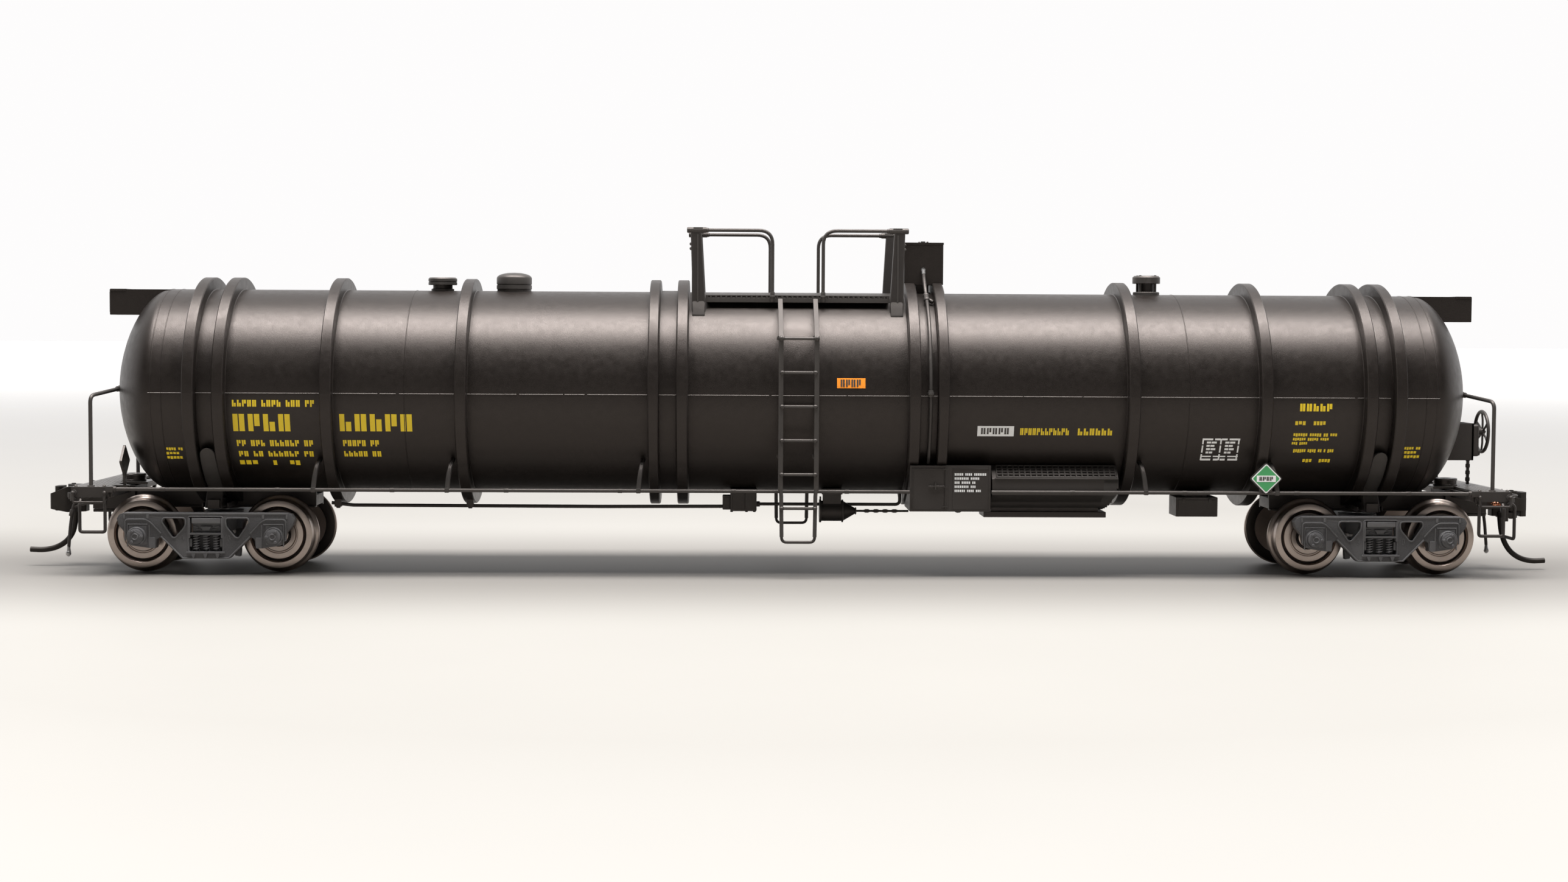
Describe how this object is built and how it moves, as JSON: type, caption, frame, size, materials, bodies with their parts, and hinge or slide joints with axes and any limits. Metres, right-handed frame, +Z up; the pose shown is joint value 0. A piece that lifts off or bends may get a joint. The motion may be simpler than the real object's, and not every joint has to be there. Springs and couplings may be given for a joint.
{
  "type": "model tank wagon",
  "caption": "Model railway tank wagon for very cold liquids: a ringed black tank on an underframe with swivelling trucks, rolling wheelsets, ladders, walkways and sprung knuckle couplers.",
  "frame": {"origin": "middle of the wagon, on the plane that the wheel flanges' lowest points touch", "axes": "+X along the wagon to the hand brake end, +Y to the side with no equipment cabinet, +Z up"},
  "size_m": [0.2376, 0.0348, 0.0527],
  "materials": {
    "black_plastic": "satin black paint with a fine grain",
    "grey_plastic": "dark grey moulding, matte",
    "nickel_wheel": "turned and nickel plated, warm bright metal",
    "dark_steel": "blackened metal",
    "ballast_steel": "plain mill finish",
    "spring_copper": "phosphor bronze wire"
  },
  "bodies": {
    "wagon_body": {"ballast_weight": "ballast_steel", "brake_cylinder_and_rod": "black_plastic", "brake_pipe_and_valve": "black_plastic", "coupler_pocket_lid_a": "black_plastic", "coupler_pocket_lid_b": "black_plastic", "dome_cap": "black_plastic", "end_box_a": "black_plastic", "end_box_b": "black_plastic", "end_frame_a": "black_plastic", "end_frame_b": "black_plastic", "end_handrail_a_far": "black_plastic", "end_handrail_a_near": "black_plastic", "end_handrail_b_far": "black_plastic", "end_handrail_b_near": "black_plastic", "end_platform_a": "black_plastic", "end_platform_b": "black_plastic", "equipment_cabinet": "black_plastic", "hand_brake_bracket": "black_plastic", "hand_brake_wheel": "black_plastic", "kingpin_screw_a": "dark_steel", "kingpin_screw_b": "dark_steel", "ladder_far": "black_plastic", "ladder_near": "black_plastic", "side_rail_far": "black_plastic", "side_rail_near_a": "black_plastic", "side_rail_near_b": "black_plastic", "tank_shell_lower": "black_plastic", "tank_shell_upper": "black_plastic", "tool_box": "black_plastic", "valve_box": "black_plastic", "valve_pipe": "black_plastic", "vaporizer_housing": "black_plastic", "vent_cap_a": "black_plastic", "vent_cap_b": "black_plastic", "walkway_far": "black_plastic", "walkway_near": "black_plastic"},
    "wheelset_1": {"axle_1": "dark_steel", "wheel_1_near": "nickel_wheel", "wheel_1_far": "nickel_wheel"},
    "wheelset_2": {"axle_2": "dark_steel", "wheel_2_near": "nickel_wheel", "wheel_2_far": "nickel_wheel"},
    "wheelset_3": {"axle_3": "dark_steel", "wheel_3_near": "nickel_wheel", "wheel_3_far": "nickel_wheel"},
    "wheelset_4": {"axle_4": "dark_steel", "wheel_4_near": "nickel_wheel", "wheel_4_far": "nickel_wheel"},
    "truck_a": {"truck_bolster_a": "grey_plastic", "sideframe_a_near": "grey_plastic", "sideframe_a_far": "grey_plastic"},
    "coupler_end_a": {"coupler_a": "dark_steel", "knuckle_spring_a": "spring_copper"},
    "knuckle_end_a": {"knuckle_a": "dark_steel"},
    "truck_b": {"truck_bolster_b": "grey_plastic", "sideframe_b_near": "grey_plastic", "sideframe_b_far": "grey_plastic"},
    "coupler_end_b": {"coupler_b": "dark_steel", "knuckle_spring_b": "spring_copper"},
    "knuckle_end_b": {"knuckle_b": "dark_steel"}
  },
  "joints": [
    {"name": "truck_a_swivel", "type": "hinge", "parent": "wagon_body", "child": "truck_a", "pos_m": [-0.08877, 0, 0.0092], "axis": [0, 0, 1], "range_deg": [-12, 12]},
    {"name": "truck_b_swivel", "type": "hinge", "parent": "wagon_body", "child": "truck_b", "pos_m": [0.08877, 0, 0.0092], "axis": [0, 0, 1], "range_deg": [-12, 12]},
    {"name": "wheelset_1_roll", "type": "hinge", "parent": "truck_a", "child": "wheelset_1", "pos_m": [-0.09897, 0, 0.00589], "axis": [0, 1, 0], "continuous": true},
    {"name": "wheelset_2_roll", "type": "hinge", "parent": "truck_a", "child": "wheelset_2", "pos_m": [-0.07856, 0, 0.00589], "axis": [0, 1, 0], "continuous": true},
    {"name": "wheelset_3_roll", "type": "hinge", "parent": "truck_b", "child": "wheelset_3", "pos_m": [0.07856, 0, 0.00589], "axis": [0, 1, 0], "continuous": true},
    {"name": "wheelset_4_roll", "type": "hinge", "parent": "truck_b", "child": "wheelset_4", "pos_m": [0.09897, 0, 0.00589], "axis": [0, 1, 0], "continuous": true},
    {"name": "coupler_a_swing", "type": "hinge", "parent": "wagon_body", "child": "coupler_end_a", "pos_m": [-0.1043, 0, 0.0105], "axis": [0, 0, 1], "range_deg": [-8, 8], "stiffness_Nm_per_rad": 0.001},
    {"name": "coupler_b_swing", "type": "hinge", "parent": "wagon_body", "child": "coupler_end_b", "pos_m": [0.1043, 0, 0.0105], "axis": [0, 0, 1], "range_deg": [-8, 8], "stiffness_Nm_per_rad": 0.001},
    {"name": "knuckle_a_open", "type": "hinge", "parent": "coupler_end_a", "child": "knuckle_end_a", "pos_m": [-0.1126, 0.002, 0.0105], "axis": [0, 0, 1], "range_deg": [-22, 0], "stiffness_Nm_per_rad": 0.00005},
    {"name": "knuckle_b_open", "type": "hinge", "parent": "coupler_end_b", "child": "knuckle_end_b", "pos_m": [0.1126, -0.002, 0.0105], "axis": [0, 0, 1], "range_deg": [-22, 0], "stiffness_Nm_per_rad": 0.00005}
  ]
}
